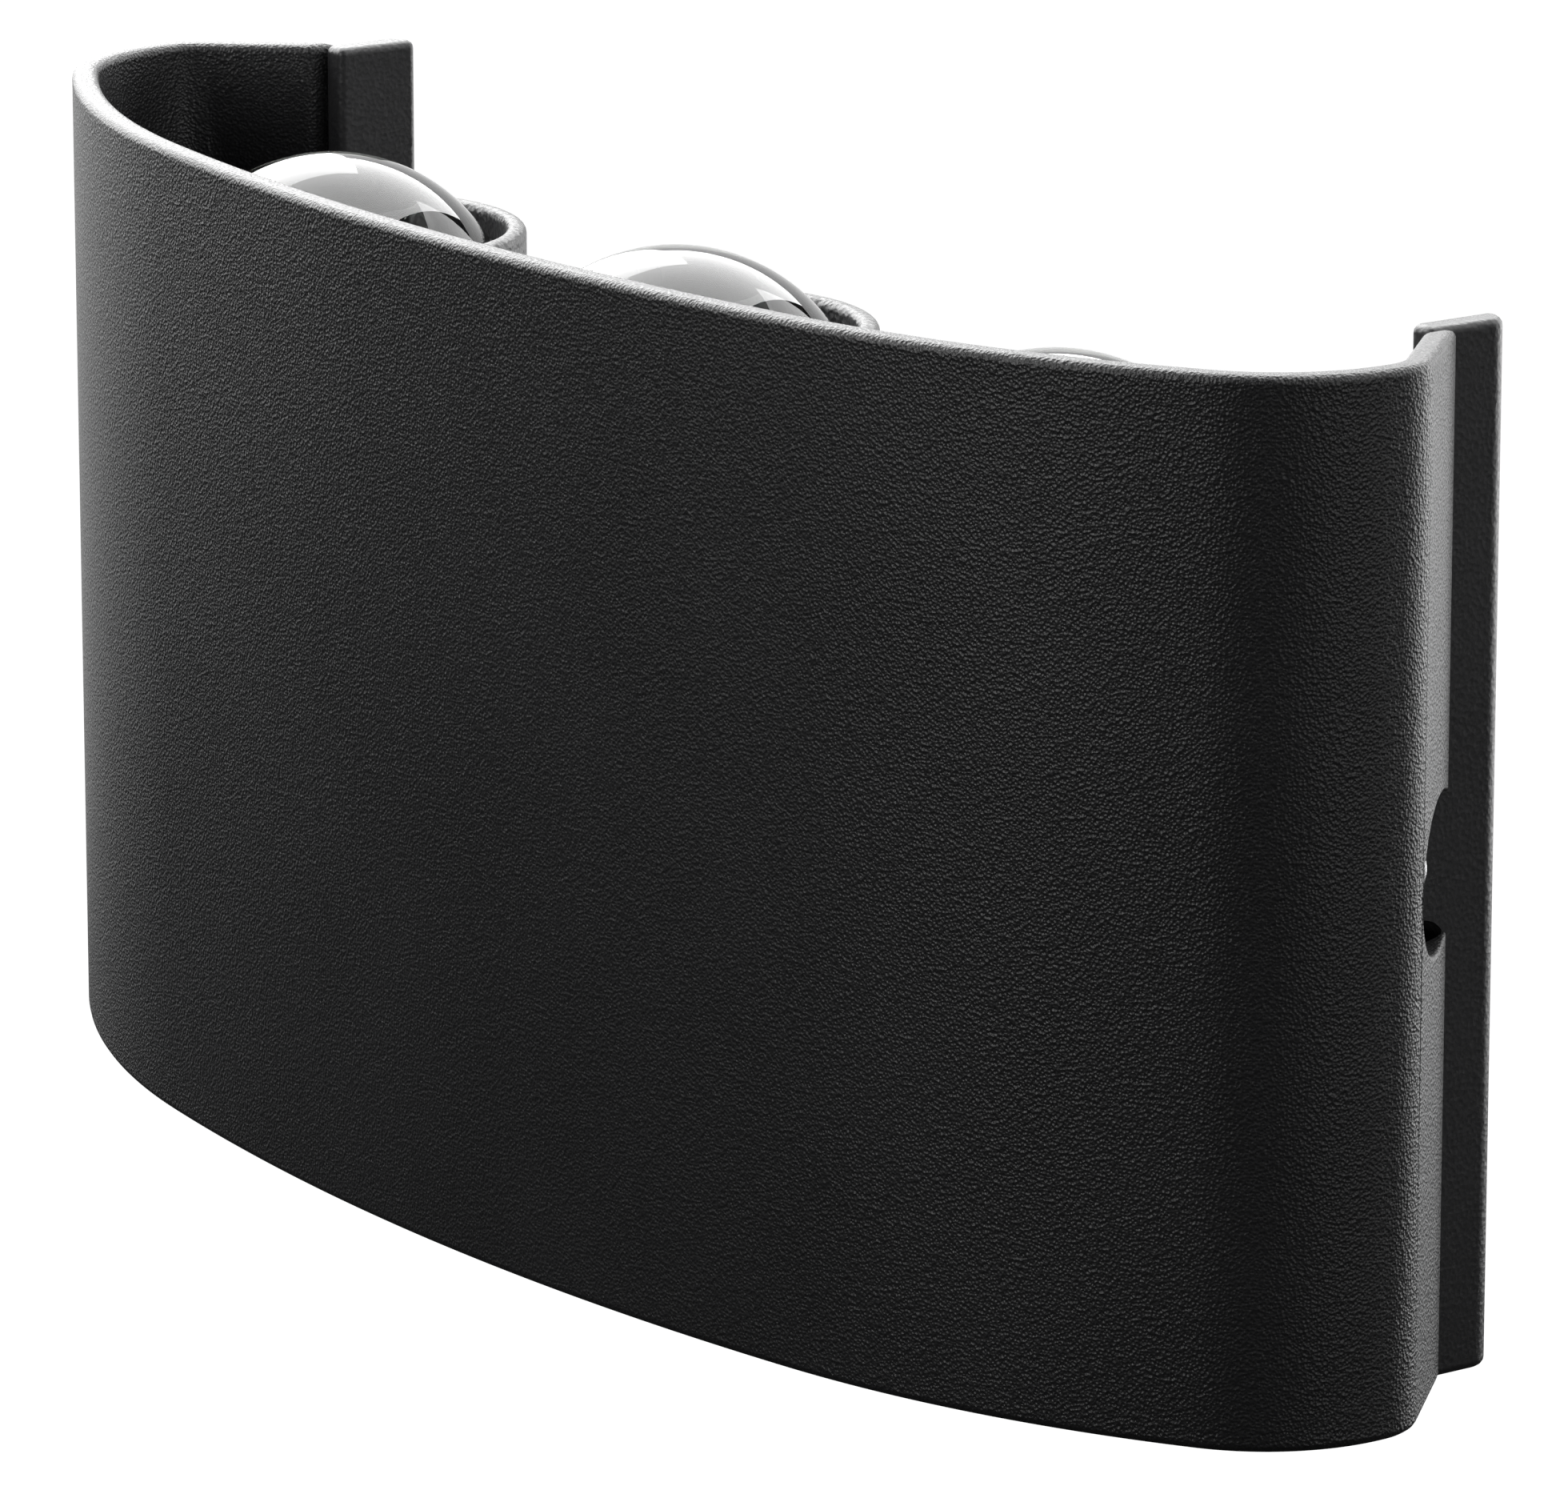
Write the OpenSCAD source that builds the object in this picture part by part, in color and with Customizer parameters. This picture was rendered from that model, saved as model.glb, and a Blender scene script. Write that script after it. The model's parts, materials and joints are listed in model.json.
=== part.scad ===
// Up-and-down wall light: a curved shade over six lens barrels, on a wall bracket with two side wings.
// X runs along the width, Z is up, and the wall is the plane Y = 0 with the light standing towards -Y.
// The origin is the middle of the two wall-screw slots, on the bracket's rear face.

/* [Shade] */
// Width of the shade across its round ends
lamp_w = 165; // [160:1:200]
// Height of the shade
lamp_h = 80; // [76:1:100]
// Wall thickness of the shade
shade_t = 2.2; // [1.8:0.1:2.6]
// Half angle of the shallow front arc
front_angle = 9.3; // [8:0.1:11]
// Radius of the shoulder arcs beside the front arc
shoulder_r = 88; // [80:1:96]
// Angle of each shoulder arc
shoulder_angle = 23.5; // [22:0.5:25]
// Radius of the round ends
end_r = 14.7; // [12:0.1:17]
// Straight part behind each round end
side_flat = 0.4; // [0.2:0.1:12]
// Radius of the corner that turns the ends inward
corner_r = 6; // [4:0.5:8]
// Total turn from the front to the straight return
return_turn = 132; // [126:1:138]
// Radius of the screwdriver notch in each return
notch_r = 5.9; // [5:0.1:7]
// How far the notch's centre lies behind the side screw
notch_back = 2.1; // [1:0.1:3]

/* [Wall bracket] */
// Distance from the shade's widest point in to the wing's outer face
wing_inset = 9.5; // [9:0.1:11]
// Thickness of the wings
wing_t = 2.6; // [2:0.1:3]
// Depth of the wings from the wall
wing_depth = 7.6; // [7:0.1:10]
// How far the shade's return laps behind the wing's front edge
return_lap = 2.1; // [1.5:0.1:3]
// Rounding of the wing's outer rear corner
wing_corner_r = 1.8; // [1:0.1:2]
// Thickness of the wall plate
plate_t = 2.5; // [2:0.1:3]
// Height of the wall plate
plate_h = 36; // [32:1:50]
// Distance between the two wall-screw slots
slot_spacing = 100; // [80:1:110]
// Width of each wall-screw slot
slot_w = 4.6; // [4:0.1:6]
// End-to-end length of each wall-screw slot
slot_l = 10; // [8:0.5:14]
// Radius of the cable window in the plate
window_r = 9; // [8:0.5:12]
// Distance from the wing's front edge to the side screw
lug_reach = 3.1; // [2.8:0.1:4]
// Height of each screw lug
lug_h = 8.8; // [8:0.1:10]
// Radius of the relief under and over each lug
relief_r = 2.2; // [1.5:0.1:2.5]

/* [Lens barrels] */
// Distance from the shade's widest point in to the outer lens axis
lens_inset = 34; // [33:0.5:36]
// Outer radius of a barrel
barrel_r = 15.9; // [14:0.1:16]
// Wall of a barrel round its mouth
mouth_wall = 1.7; // [1.5:0.1:2.5]
// Width of the ledge that a lens sits on
seat_ledge = 1.6; // [1.4:0.1:2]
// Distance from the shade's rim down to the barrel's rim
barrel_drop = 9.8; // [8:0.1:12]
// Gap between the barrels and the middle of the shade's front wall
front_gap = 5.9; // [5.7:0.1:7]
// Distance from the barrel's rim down to the lens seat
seat_drop = 8.7; // [8:0.1:9]

/* [Lenses] */
// Radius of the lens dome
dome_r = 15.1; // [14.8:0.1:15.5]
// Height of the dome above the barrel's rim
dome_rise = 5.9; // [5:0.1:6.2]
// Width of the ring round the lens
ring_w = 1.3; // [1.2:0.1:2]
// Thickness of the lens flange
flange_t = 2.5; // [2:0.1:3]
// Thickness of the flat seal under a lens
seal_t = 1; // [0.8:0.1:1.2]
// Height of the ring that holds a lens down
ring_h = 3; // [2.5:0.1:3.5]

/* [Housing] */
// Width of the driver box
box_w = 132; // [128:1:136]
// Height of the driver box
box_h = 25; // [24:0.5:28]
// Wall thickness of the driver box
box_t = 2; // [1.8:0.1:2.4]
// Distance from the middle of the shade's front to the driver box
box_front = 14; // [13.5:0.5:15]
// Distance from the side screws back to the driver box's rear rim
box_back = 2.1; // [1.9:0.1:2.3]
// Radius of the box's front corners
box_corner_r = 8; // [6:0.5:10]
// Thickness of the rear cover
cover_t = 2; // [1.6:0.1:2.2]
// Thickness of the cover's gasket
gasket_t = 0.8; // [0.6:0.1:1]
// Bore of the cable grommet
grommet_bore = 6.4; // [5:0.1:8]

/* [Hidden] */
$fn = 96;

gap = 0.3;            // between pieces that come apart
fit = 0.05;           // radial clearance of a screw in its thread
shank_clear = 0.2;    // radial clearance of a screw in a plain hole
drop_in = 0.2;        // radial clearance of a round piece that drops into a barrel
tiny = 0.01;          // overshoot of a cut past a face
past = 1;             // overshoot of a cut into open space

// Plan of the shade, from the wall forward
wing_x = lamp_w / 2 - wing_inset;
return_x = wing_x + gap;
shoulder_turn = front_angle + shoulder_angle;
corner_x = lamp_w / 2 - corner_r;
return_len = (corner_x + corner_r * sin(return_turn) - return_x) / -cos(return_turn);
corner_y = return_lap - wing_depth - return_len * sin(return_turn) + corner_r * cos(return_turn);
end_x = lamp_w / 2 - end_r;
end_y = corner_y - side_flat;
shoulder_x = end_x - (shoulder_r - end_r) * sin(shoulder_turn);
shoulder_y = end_y + (shoulder_r - end_r) * cos(shoulder_turn);
front_r = shoulder_r + shoulder_x / sin(front_angle);
front_y = shoulder_y + (front_r - shoulder_r) * cos(front_angle);
face_y = front_y - front_r;

// Wall bracket and side screws
lug_y = -wing_depth - lug_reach;
screw_r = 1.45;       // M3 shank
thread_r = screw_r + fit;
hole_r = screw_r + shank_clear;
head_r = 2.6;
head_h = 1.6;
drive_r = 1.1;        // of the hex recess, across its corners
side_head_r = 2.4;
side_drive_r = 1.2;
head_gap = 0.15;      // under a side screw's head

// Barrels
lens_pitch = lamp_w / 2 - lens_inset;
shoulder_room = shoulder_r - shade_t - gap - barrel_r;
lens_y = max(
    face_y + shade_t + front_gap + barrel_r,
    shoulder_y - sqrt(pow(shoulder_room, 2) - pow(lens_pitch - shoulder_x, 2))
);
mouth_r = barrel_r - mouth_wall;
chamber_r = mouth_r - seat_ledge;
neck_r = mouth_r - ring_w;
barrel_top = lamp_h / 2 - barrel_drop;
seat_z = barrel_top - seat_drop;
lens_z = seat_z + seal_t;
dome_z = barrel_top + dome_rise - dome_r;
seal_lap = 0.7;       // of the seal over the chamber
key_w = 1.6;          // of the slot that turns a ring
key_depth = 1;
board_t = 1.6;
board_z = box_h / 2;
reflector_hole_r = 3.2;
reflector_lip = 1.2;
led_w = 3.5;
led_h = 0.8;
led_dome_r = 1.6;
led_dome_sink = 0.3;  // of the dome into the LED's package
lead_x = chamber_r - 4.6;
lead_y = 6.1 - chamber_r;
lead_pitch = 2.4;
lead_r = 0.65;
lead_clear = 0.35;

// Driver box
box_y = face_y + box_front;
box_rear = lug_y + box_back;
box_d = box_rear - box_y;
inner_w = box_w - 2 * box_t;
inner_h = box_h - 2 * box_t;
boss_r = 2.6;
boss_sink = 0.8;      // of the cover's screw bosses into the box's walls
boss_inset = 3.5;     // from the box's inner side wall to the outer bosses
cover_xs = [-1, -0.5, 0.5, 1] * (inner_w / 2 - boss_inset);
cover_hold = 5;       // length of a cover screw in its boss
cover_z = inner_h / 2 - boss_r + boss_sink;
cover_y = box_rear + gasket_t;
shade_screw_x = 20;
shade_screw_z = 6.5;
post_r = 3.2;
post_hole = 8;
post_hold = 6;        // length of a shade screw in its post
pcb_l = inner_w - 24;
pcb_w = 16;
pcb_y = box_rear - 10.5;
pillar_h = 6;
pillar_r = 2.6;
pillar_x = pcb_l / 2 - 6;
pillar_hold = 4;      // length of a driver screw in its pillar
pcb_z = pillar_h - inner_h / 2;
pcb_top = pcb_z + board_t;
pad_l = 6;            // of the thick pad that takes a side screw's tip
pad_h = 10;
pad_d = 8;
tip_gap = 1;          // between a side screw's tip and the end of its hole
grommet_r = 4.6;
grommet_lip = 0.9;
inner_lip_w = 1.6;
outer_lip_w = 1.9;
cover_w = box_w - 1;
cover_h = box_h - 1;
cover_corner_r = 3;
cover_room = 0.2;     // of a barrel's rear wall past the box's top and bottom

// Parts on the driver board, in a row with equal gaps between its two screws
core_w = 15;
core_d = 12;
core_t = 2;
core_h = 7.6;
core_leg_w = 2.5;
core_leg_d = 5;
coil_r = 4.6;
capacitor_r = 4;
capacitor_l = 14;
chip_w = 6;
chip_d = 5;
chip_h = 1.6;
terminal_w = 15;
terminal_d = 9;
terminal_h = 7.6;
terminal_back = 7;    // from the middle of the driver board to the wire entries
ways = 3;
way_pitch = terminal_w / ways;
wire_r = 1.3;
wire_z = 2.2;
wire_l = 6;
clamp_r = 1.5;
clamp_head_r = 1.55;
clamp_well_r = 1.6;
clamp_head_h = 0.6;
clamp_z = 6.6;
clamp_y = 2.5;
clamp_l = 2.2;
clamp_drive_r = 0.7;
row_half = pillar_x - head_r;
row_gap = (2 * row_half - core_w - chip_w - capacitor_l - terminal_w) / 5;
core_x = row_gap + core_w / 2 - row_half;
chip_x = core_x + core_w / 2 + row_gap;
capacitor_x = chip_x + chip_w + row_gap;
terminal_x = capacitor_x + capacitor_l + row_gap;

// Earth screw in the wall plate
earth_x = -15;
earth_z = 12;
earth_head_r = 2.8;

// A screw along +Z: the head stands on Z = 0 and the shank goes down
module screw(shank_l, r = screw_r, head = head_r, rise = head_h, drive = drive_r) {
    difference() {
        union() {
            translate([0, 0, -shank_l]) cylinder(r = r, h = shank_l + tiny);
            intersection() {
                cylinder(r = head, h = rise);
                translate([0, 0, rise - 2 * head]) sphere(r = 2 * head);
            }
        }
        translate([0, 0, rise / 2]) cylinder(r = drive, h = rise, $fn = 6);
    }
}

// Points along an arc, turned from one heading to another about x, y
function arc_points(x, y, r, turn_from, turn_to, steps) = [
    for (k = [1:steps]) let (turn = turn_from + (turn_to - turn_from) * k / steps)
        [x + r * sin(turn), y - r * cos(turn)]
];

// End of the straight return, where it meets the plane x = return_x
function return_point(r) =
    let (x = corner_x + r * sin(return_turn), y = corner_y - r * cos(return_turn))
        [return_x, y - (x - return_x) * tan(return_turn)];

// One half of the shade's outline, this far inside its outer face
function half_outline(inset) = concat(
    arc_points(0, front_y, front_r - inset, 0, front_angle, 10),
    arc_points(shoulder_x, shoulder_y, shoulder_r - inset, front_angle, shoulder_turn, 14),
    arc_points(end_x, end_y, end_r - inset, shoulder_turn, 90, 14),
    arc_points(corner_x, corner_y, corner_r - inset, 90, return_turn, 8),
    [return_point(corner_r - inset)]
);

// The same half on the left side
function flipped(points) = [for (p = points) [-p[0], p[1]]];

// The same points in the other order
function backwards(points) = [for (k = [len(points) - 1:-1:0]) points[k]];

// The shade's outline from one return round the front to the other
function outline(inset) = concat(
    backwards(flipped(half_outline(inset))), [[0, face_y + inset]], half_outline(inset)
);

// Posts cast on the shade that reach back to the driver box
module shade_posts() {
    for (x = [-1, 1] * shade_screw_x, z = [-1, 1] * shade_screw_z)
        translate([x, face_y + shade_t / 2, z]) rotate([-90, 0, 0])
            cylinder(r = post_r, h = box_front - shade_t / 2);
}

module shade() {
    color([0.05, 0.05, 0.055]) difference() {
        union() {
            translate([0, 0, -lamp_h / 2]) linear_extrude(height = lamp_h)
                polygon(concat(outline(0), backwards(outline(shade_t))));
            shade_posts();
        }
        for (side = [-1, 1])
            translate([side * (wing_x - wing_t), lug_y + notch_back, 0]) rotate([0, side * 90, 0])
                cylinder(r = notch_r, h = lamp_w);
        for (x = [-1, 1] * shade_screw_x, z = [-1, 1] * shade_screw_z)
            translate([x, box_y - post_hole, z]) rotate([-90, 0, 0])
                cylinder(r = thread_r, h = post_hole + tiny);
    }
}

// Outline of the driver box seen from above, with round front corners
module box_plan(w, d, r) {
    translate([-w / 2, r]) square([w, d - r]);
    translate([r - w / 2, 0]) square([w - 2 * r, d]);
    for (side = [-1, 1]) translate([side * (w / 2 - r), r]) circle(r = r);
}

module barrel_solid() {
    translate([0, 0, box_h / 2 - box_t]) cylinder(r = barrel_r, h = barrel_top - box_h / 2 + box_t);
}

module barrel_bore() {
    translate([0, 0, board_z]) cylinder(r = chamber_r, h = barrel_top);
    translate([0, 0, seat_z]) cylinder(r = mouth_r, h = barrel_top);
    for (k = [-1, 1])
        translate([lead_x + k * lead_pitch / 2, lead_y, 0])
            cylinder(r = lead_r + lead_clear, h = barrel_top, $fn = 24);
}

// Places its children at one barrel: column is -1, 0 or 1 and side is 1 for up or -1 for down
module at_barrel(column, side) {
    translate([column * lens_pitch, lens_y, 0]) mirror([0, 0, side < 0 ? 1 : 0]) children();
}

// Boss that meets a wing's lug, with a thick pad behind it inside the box
module side_boss(side) {
    translate([side * (box_w / 2 - tiny), lug_y, 0]) rotate([0, side * 90, 0])
        cylinder(r = lug_h / 2, h = wing_x - wing_t - gap - box_w / 2 + tiny);
    translate([side * (inner_w - pad_l + tiny) / 2, box_rear - pad_d / 2, 0])
        cube([pad_l + tiny, pad_d, pad_h], center = true);
}

module housing() {
    color([0.06, 0.06, 0.065]) difference() {
        union() {
            difference() {
                translate([0, box_y, -box_h / 2]) linear_extrude(height = box_h)
                    box_plan(box_w, box_d, box_corner_r);
                translate([0, box_y + box_t, -inner_h / 2]) linear_extrude(height = inner_h)
                    box_plan(inner_w, box_d, box_corner_r - box_t);
            }
            difference() {
                for (column = [-1:1], side = [-1, 1]) at_barrel(column, side) barrel_solid();
                // room for the rear cover between the rear walls of the upper and lower barrels
                translate([-box_w, box_rear, cover_room - box_h / 2])
                    cube([2 * box_w, barrel_r, box_h - 2 * cover_room]);
            }
            for (side = [-1, 1]) side_boss(side);
            for (x = cover_xs, z = [-1, 1] * cover_z)
                translate([x, box_y + box_t / 2, z]) rotate([-90, 0, 0])
                    cylinder(r = boss_r, h = box_d - box_t / 2, $fn = 48);
            for (x = [-1, 1] * pillar_x)
                translate([x, pcb_y, -(inner_h + box_t) / 2])
                    cylinder(r = pillar_r, h = pillar_h + box_t / 2, $fn = 48);
        }
        for (column = [-1:1], side = [-1, 1]) at_barrel(column, side) barrel_bore();
        for (side = [-1, 1])
            translate([side * (inner_w / 2 - pad_l + tip_gap), lug_y, 0]) rotate([0, side * 90, 0])
                cylinder(r = thread_r, h = lamp_w);
        for (x = [-1, 1] * shade_screw_x, z = [-1, 1] * shade_screw_z)
            translate([x, box_y - past, z]) rotate([-90, 0, 0]) cylinder(r = hole_r, h = box_t + 2 * past);
        for (x = cover_xs, z = [-1, 1] * cover_z)
            translate([x, box_rear - post_hole, z]) rotate([-90, 0, 0])
                cylinder(r = thread_r, h = post_hole + tiny);
        for (x = [-1, 1] * pillar_x)
            translate([x, pcb_y, pcb_z - pillar_h + tip_gap])
                cylinder(r = thread_r, h = pillar_h - tip_gap + tiny, $fn = 48);
    }
}

// Flat plate outline in X and Z, drawn in X and Y
module cover_outline() {
    square([cover_w - 2 * cover_corner_r, cover_h], center = true);
    square([cover_w, cover_h - 2 * cover_corner_r], center = true);
    for (x = [-1, 1], z = [-1, 1])
        translate([x * (cover_w / 2 - cover_corner_r), z * (cover_h / 2 - cover_corner_r)])
            circle(r = cover_corner_r);
}

// Stands a plate drawn in X and Y up against the wall, from y forward by its thickness to y + thickness
module stand_plate(y, thickness) {
    translate([0, y + thickness, 0]) rotate([90, 0, 0]) linear_extrude(height = thickness) children();
}

module rear_cover() {
    color([0.07, 0.07, 0.075]) stand_plate(cover_y, cover_t) difference() {
        cover_outline();
        for (x = cover_xs, z = [-1, 1] * cover_z) translate([x, z]) circle(r = hole_r);
        circle(r = grommet_r);
    }
}

module cover_gasket() {
    color([0.15, 0.15, 0.15]) stand_plate(box_rear, gasket_t) difference() {
        cover_outline();
        square([inner_w, inner_h], center = true);
    }
}

module cable_grommet() {
    grommet_l = cover_t + 2 * grommet_lip;
    color([0.1, 0.1, 0.1]) translate([0, cover_y - grommet_lip, 0]) rotate([-90, 0, 0]) rotate_extrude()
        difference() {
            union() {
                square([grommet_r - fit, grommet_l]);
                square([grommet_r + inner_lip_w, grommet_lip]);
                translate([0, cover_t + grommet_lip]) square([grommet_r + outer_lip_w, grommet_lip]);
            }
            translate([-tiny, -tiny]) square([grommet_bore / 2 + tiny, grommet_l + 2 * tiny]);
        }
}

// Plan of a wing, with its outer rear corner rounded
module wing_plan() {
    translate([wing_x - wing_t, -wing_depth]) square([wing_t, wing_depth - wing_corner_r]);
    translate([wing_x - wing_t, -wing_corner_r]) square([wing_t - wing_corner_r, wing_corner_r]);
    translate([wing_x - wing_corner_r, -wing_corner_r]) circle(r = wing_corner_r, $fn = 48);
}

// A bar along X with round ends, for cutting a slot through something that stands on the wall
module slot_bar(length, width, depth) {
    for (end = [-1, 1])
        translate([end * (length - width) / 2, 0, 0]) rotate([90, 0, 0]) cylinder(r = width / 2, h = depth);
    translate([(width - length) / 2, -depth, -width / 2]) cube([length - width, depth, width]);
}

// One wing with the hooked lug that the side screw clamps
module wing() {
    cut_x = wing_x - wing_t - past;
    cut_t = wing_t + 2 * past;
    difference() {
        union() {
            translate([0, 0, -lamp_h / 2]) linear_extrude(height = lamp_h) wing_plan();
            translate([wing_x - wing_t, lug_y, 0]) rotate([0, 90, 0]) cylinder(r = lug_h / 2, h = wing_t);
            translate([wing_x - wing_t, lug_y, -lug_h / 2]) cube([wing_t, lug_reach + past, lug_h]);
        }
        translate([cut_x, lug_y, 0]) rotate([0, 90, 0]) cylinder(r = hole_r, h = cut_t);
        translate([cut_x, lug_y - lug_h, -hole_r]) cube([cut_t, lug_h, 2 * hole_r]);
        for (side = [-1, 1])
            translate([cut_x, -wing_depth, side * (lug_h / 2 + relief_r)]) rotate([0, 90, 0])
                cylinder(r = relief_r, h = cut_t);
    }
}

module wall_bracket() {
    color([0.055, 0.055, 0.06]) difference() {
        union() {
            wing();
            mirror([1, 0, 0]) wing();
            translate([wing_t / 2 - wing_x, -plate_t, -plate_h / 2])
                cube([2 * wing_x - wing_t, plate_t, plate_h]);
        }
        for (side = [-1, 1])
            translate([side * slot_spacing / 2, past, 0]) slot_bar(slot_l, slot_w, plate_t + 2 * past);
        translate([0, past, 0]) rotate([90, 0, 0]) cylinder(r = window_r, h = plate_t + 2 * past);
        translate([earth_x, past, earth_z]) rotate([90, 0, 0]) cylinder(r = thread_r, h = plate_t + 2 * past);
    }
}

module cover_screws() {
    color([0.65, 0.65, 0.67]) for (x = cover_xs, z = [-1, 1] * cover_z)
        translate([x, cover_y + cover_t, z]) rotate([-90, 0, 0]) screw(cover_t + gasket_t + cover_hold);
}

module shade_screws() {
    color([0.65, 0.65, 0.67]) for (x = [-1, 1] * shade_screw_x, z = [-1, 1] * shade_screw_z)
        translate([x, box_y + box_t, z]) rotate([-90, 0, 0]) screw(box_t + post_hold);
}

module driver_screws() {
    color([0.65, 0.65, 0.67]) for (x = [-1, 1] * pillar_x)
        translate([x, pcb_y, pcb_top]) screw(board_t + pillar_hold);
}

module earth_screw() {
    color([0.75, 0.6, 0.3]) translate([earth_x, -plate_t, earth_z]) rotate([90, 0, 0])
        screw(plate_t - gap, head = earth_head_r);
}

module side_screw(side) {
    tip_x = inner_w / 2 - pad_l + 2 * tip_gap;
    color([0.7, 0.7, 0.72]) translate([side * (wing_x + head_gap), lug_y, 0]) rotate([0, side * 90, 0])
        screw(wing_x + head_gap - tip_x, head = side_head_r, drive = side_drive_r);
}

module lens(column, side) {
    color([0.8, 0.85, 0.88, 0.5]) at_barrel(column, side) rotate_extrude() {
        translate([0, lens_z]) square([mouth_r - drop_in, flange_t]);
        intersection() {
            translate([0, dome_z]) circle(r = dome_r, $fn = 180);
            translate([0, lens_z]) square([neck_r, 2 * dome_r]);
        }
    }
}

module lens_ring(column, side) {
    color([0.06, 0.06, 0.065]) at_barrel(column, side) translate([0, 0, lens_z + flange_t]) difference() {
        cylinder(r = mouth_r - fit, h = ring_h);
        translate([0, 0, -past]) cylinder(r = neck_r + fit, h = ring_h + 2 * past);
        translate([-mouth_r, -key_w / 2, ring_h - key_depth]) cube([2 * mouth_r, key_w, key_depth + past]);
    }
}

module lens_seal(column, side) {
    color([0.5, 0.5, 0.5]) at_barrel(column, side) translate([0, 0, seat_z]) difference() {
        cylinder(r = mouth_r - drop_in, h = seal_t);
        translate([0, 0, -past]) cylinder(r = chamber_r - seal_lap, h = seal_t + 2 * past);
    }
}

module reflector(column, side) {
    outer_r = chamber_r - drop_in;
    rise = seat_z - drop_in - board_z - board_t;
    color([0.85, 0.85, 0.85]) at_barrel(column, side) translate([0, 0, board_z + board_t]) rotate_extrude()
        polygon([[reflector_hole_r, 0], [outer_r, 0], [outer_r, rise], [outer_r - reflector_lip, rise]]);
}

module led_board(column, side) {
    color([0.9, 0.9, 0.9]) at_barrel(column, side) translate([0, 0, board_z])
        cylinder(r = chamber_r - drop_in, h = board_t);
}

module led(column, side) {
    color([0.95, 0.85, 0.3]) at_barrel(column, side) translate([0, 0, board_z + board_t]) {
        translate([-led_w / 2, -led_w / 2, 0]) cube([led_w, led_w, led_h]);
        translate([0, 0, led_h - led_dome_sink]) intersection() {
            sphere(r = led_dome_r, $fn = 48);
            translate([-led_w / 2, -led_w / 2, 0]) cube([led_w, led_w, led_w]);
        }
    }
}

module led_leads() {
    color([0.7, 0.1, 0.08]) for (column = [-1:1], k = [-1, 1])
        translate([column * lens_pitch + lead_x + k * lead_pitch / 2, lens_y + lead_y, -board_z])
            cylinder(r = lead_r, h = 2 * board_z, $fn = 24);
}

module driver_board() {
    color([0.1, 0.35, 0.15]) difference() {
        translate([-pcb_l / 2, pcb_y - pcb_w / 2, pcb_z]) cube([pcb_l, pcb_w, board_t]);
        for (x = [-1, 1] * pillar_x)
            translate([x, pcb_y, pcb_z - past]) cylinder(r = hole_r, h = board_t + 2 * past, $fn = 48);
    }
}

module driver_transformer() {
    color([0.25, 0.2, 0.1]) translate([core_x, pcb_y, pcb_top]) {
        for (z = [0, core_h - core_t])
            translate([-core_w / 2, -core_d / 2, z]) cube([core_w, core_d, core_t]);
        for (x = [-core_w / 2, core_w / 2 - core_leg_w])
            translate([x, -core_leg_d / 2, 0]) cube([core_leg_w, core_leg_d, core_h]);
        cylinder(r = coil_r, h = core_h);
    }
}

module driver_capacitor() {
    color([0.1, 0.1, 0.25]) translate([capacitor_x, pcb_y, pcb_top + capacitor_r]) rotate([0, 90, 0])
        cylinder(r = capacitor_r, h = capacitor_l);
}

module driver_chip() {
    color([0.1, 0.1, 0.1]) translate([chip_x, pcb_y - chip_d / 2, pcb_top]) cube([chip_w, chip_d, chip_h]);
}

// Places its children at each way of the terminal block, on the driver board
module at_ways() {
    for (k = [0:ways - 1]) translate([terminal_x + (k + 0.5) * way_pitch, pcb_y, pcb_top]) children();
}

// Block with a wire entry and a clamp screw for each way
module terminal_block() {
    color([0.85, 0.85, 0.82]) difference() {
        translate([terminal_x, pcb_y + terminal_back - terminal_d, pcb_top])
            cube([terminal_w, terminal_d, terminal_h]);
        at_ways() {
            translate([0, terminal_back - wire_l, wire_z]) rotate([-90, 0, 0])
                cylinder(r = wire_r, h = wire_l + past, $fn = 32);
            translate([0, clamp_y, clamp_z - clamp_l]) cylinder(r = clamp_well_r, h = terminal_h, $fn = 32);
        }
    }
}

module terminal_screws() {
    color([0.7, 0.7, 0.7]) at_ways() translate([0, clamp_y, clamp_z])
        screw(clamp_l, clamp_r, clamp_head_r, clamp_head_h, clamp_drive_r);
}

shade();
housing();
rear_cover();
cover_gasket();
cable_grommet();
wall_bracket();
cover_screws();
shade_screws();
driver_screws();
earth_screw();
side_screw(-1);  // side_screw_left
side_screw(1);  // side_screw_right
lens(-1, 1);  // lens_up_left
lens(0, 1);  // lens_up_middle
lens(1, 1);  // lens_up_right
lens(-1, -1);  // lens_down_left
lens(0, -1);  // lens_down_middle
lens(1, -1);  // lens_down_right
lens_ring(-1, 1);  // ring_up_left
lens_ring(0, 1);  // ring_up_middle
lens_ring(1, 1);  // ring_up_right
lens_ring(-1, -1);  // ring_down_left
lens_ring(0, -1);  // ring_down_middle
lens_ring(1, -1);  // ring_down_right
lens_seal(-1, 1);  // seal_up_left
lens_seal(0, 1);  // seal_up_middle
lens_seal(1, 1);  // seal_up_right
lens_seal(-1, -1);  // seal_down_left
lens_seal(0, -1);  // seal_down_middle
lens_seal(1, -1);  // seal_down_right
reflector(-1, 1);  // reflector_up_left
reflector(0, 1);  // reflector_up_middle
reflector(1, 1);  // reflector_up_right
reflector(-1, -1);  // reflector_down_left
reflector(0, -1);  // reflector_down_middle
reflector(1, -1);  // reflector_down_right
led_board(-1, 1);  // led_board_up_left
led_board(0, 1);  // led_board_up_middle
led_board(1, 1);  // led_board_up_right
led_board(-1, -1);  // led_board_down_left
led_board(0, -1);  // led_board_down_middle
led_board(1, -1);  // led_board_down_right
led(-1, 1);  // led_up_left
led(0, 1);  // led_up_middle
led(1, 1);  // led_up_right
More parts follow.
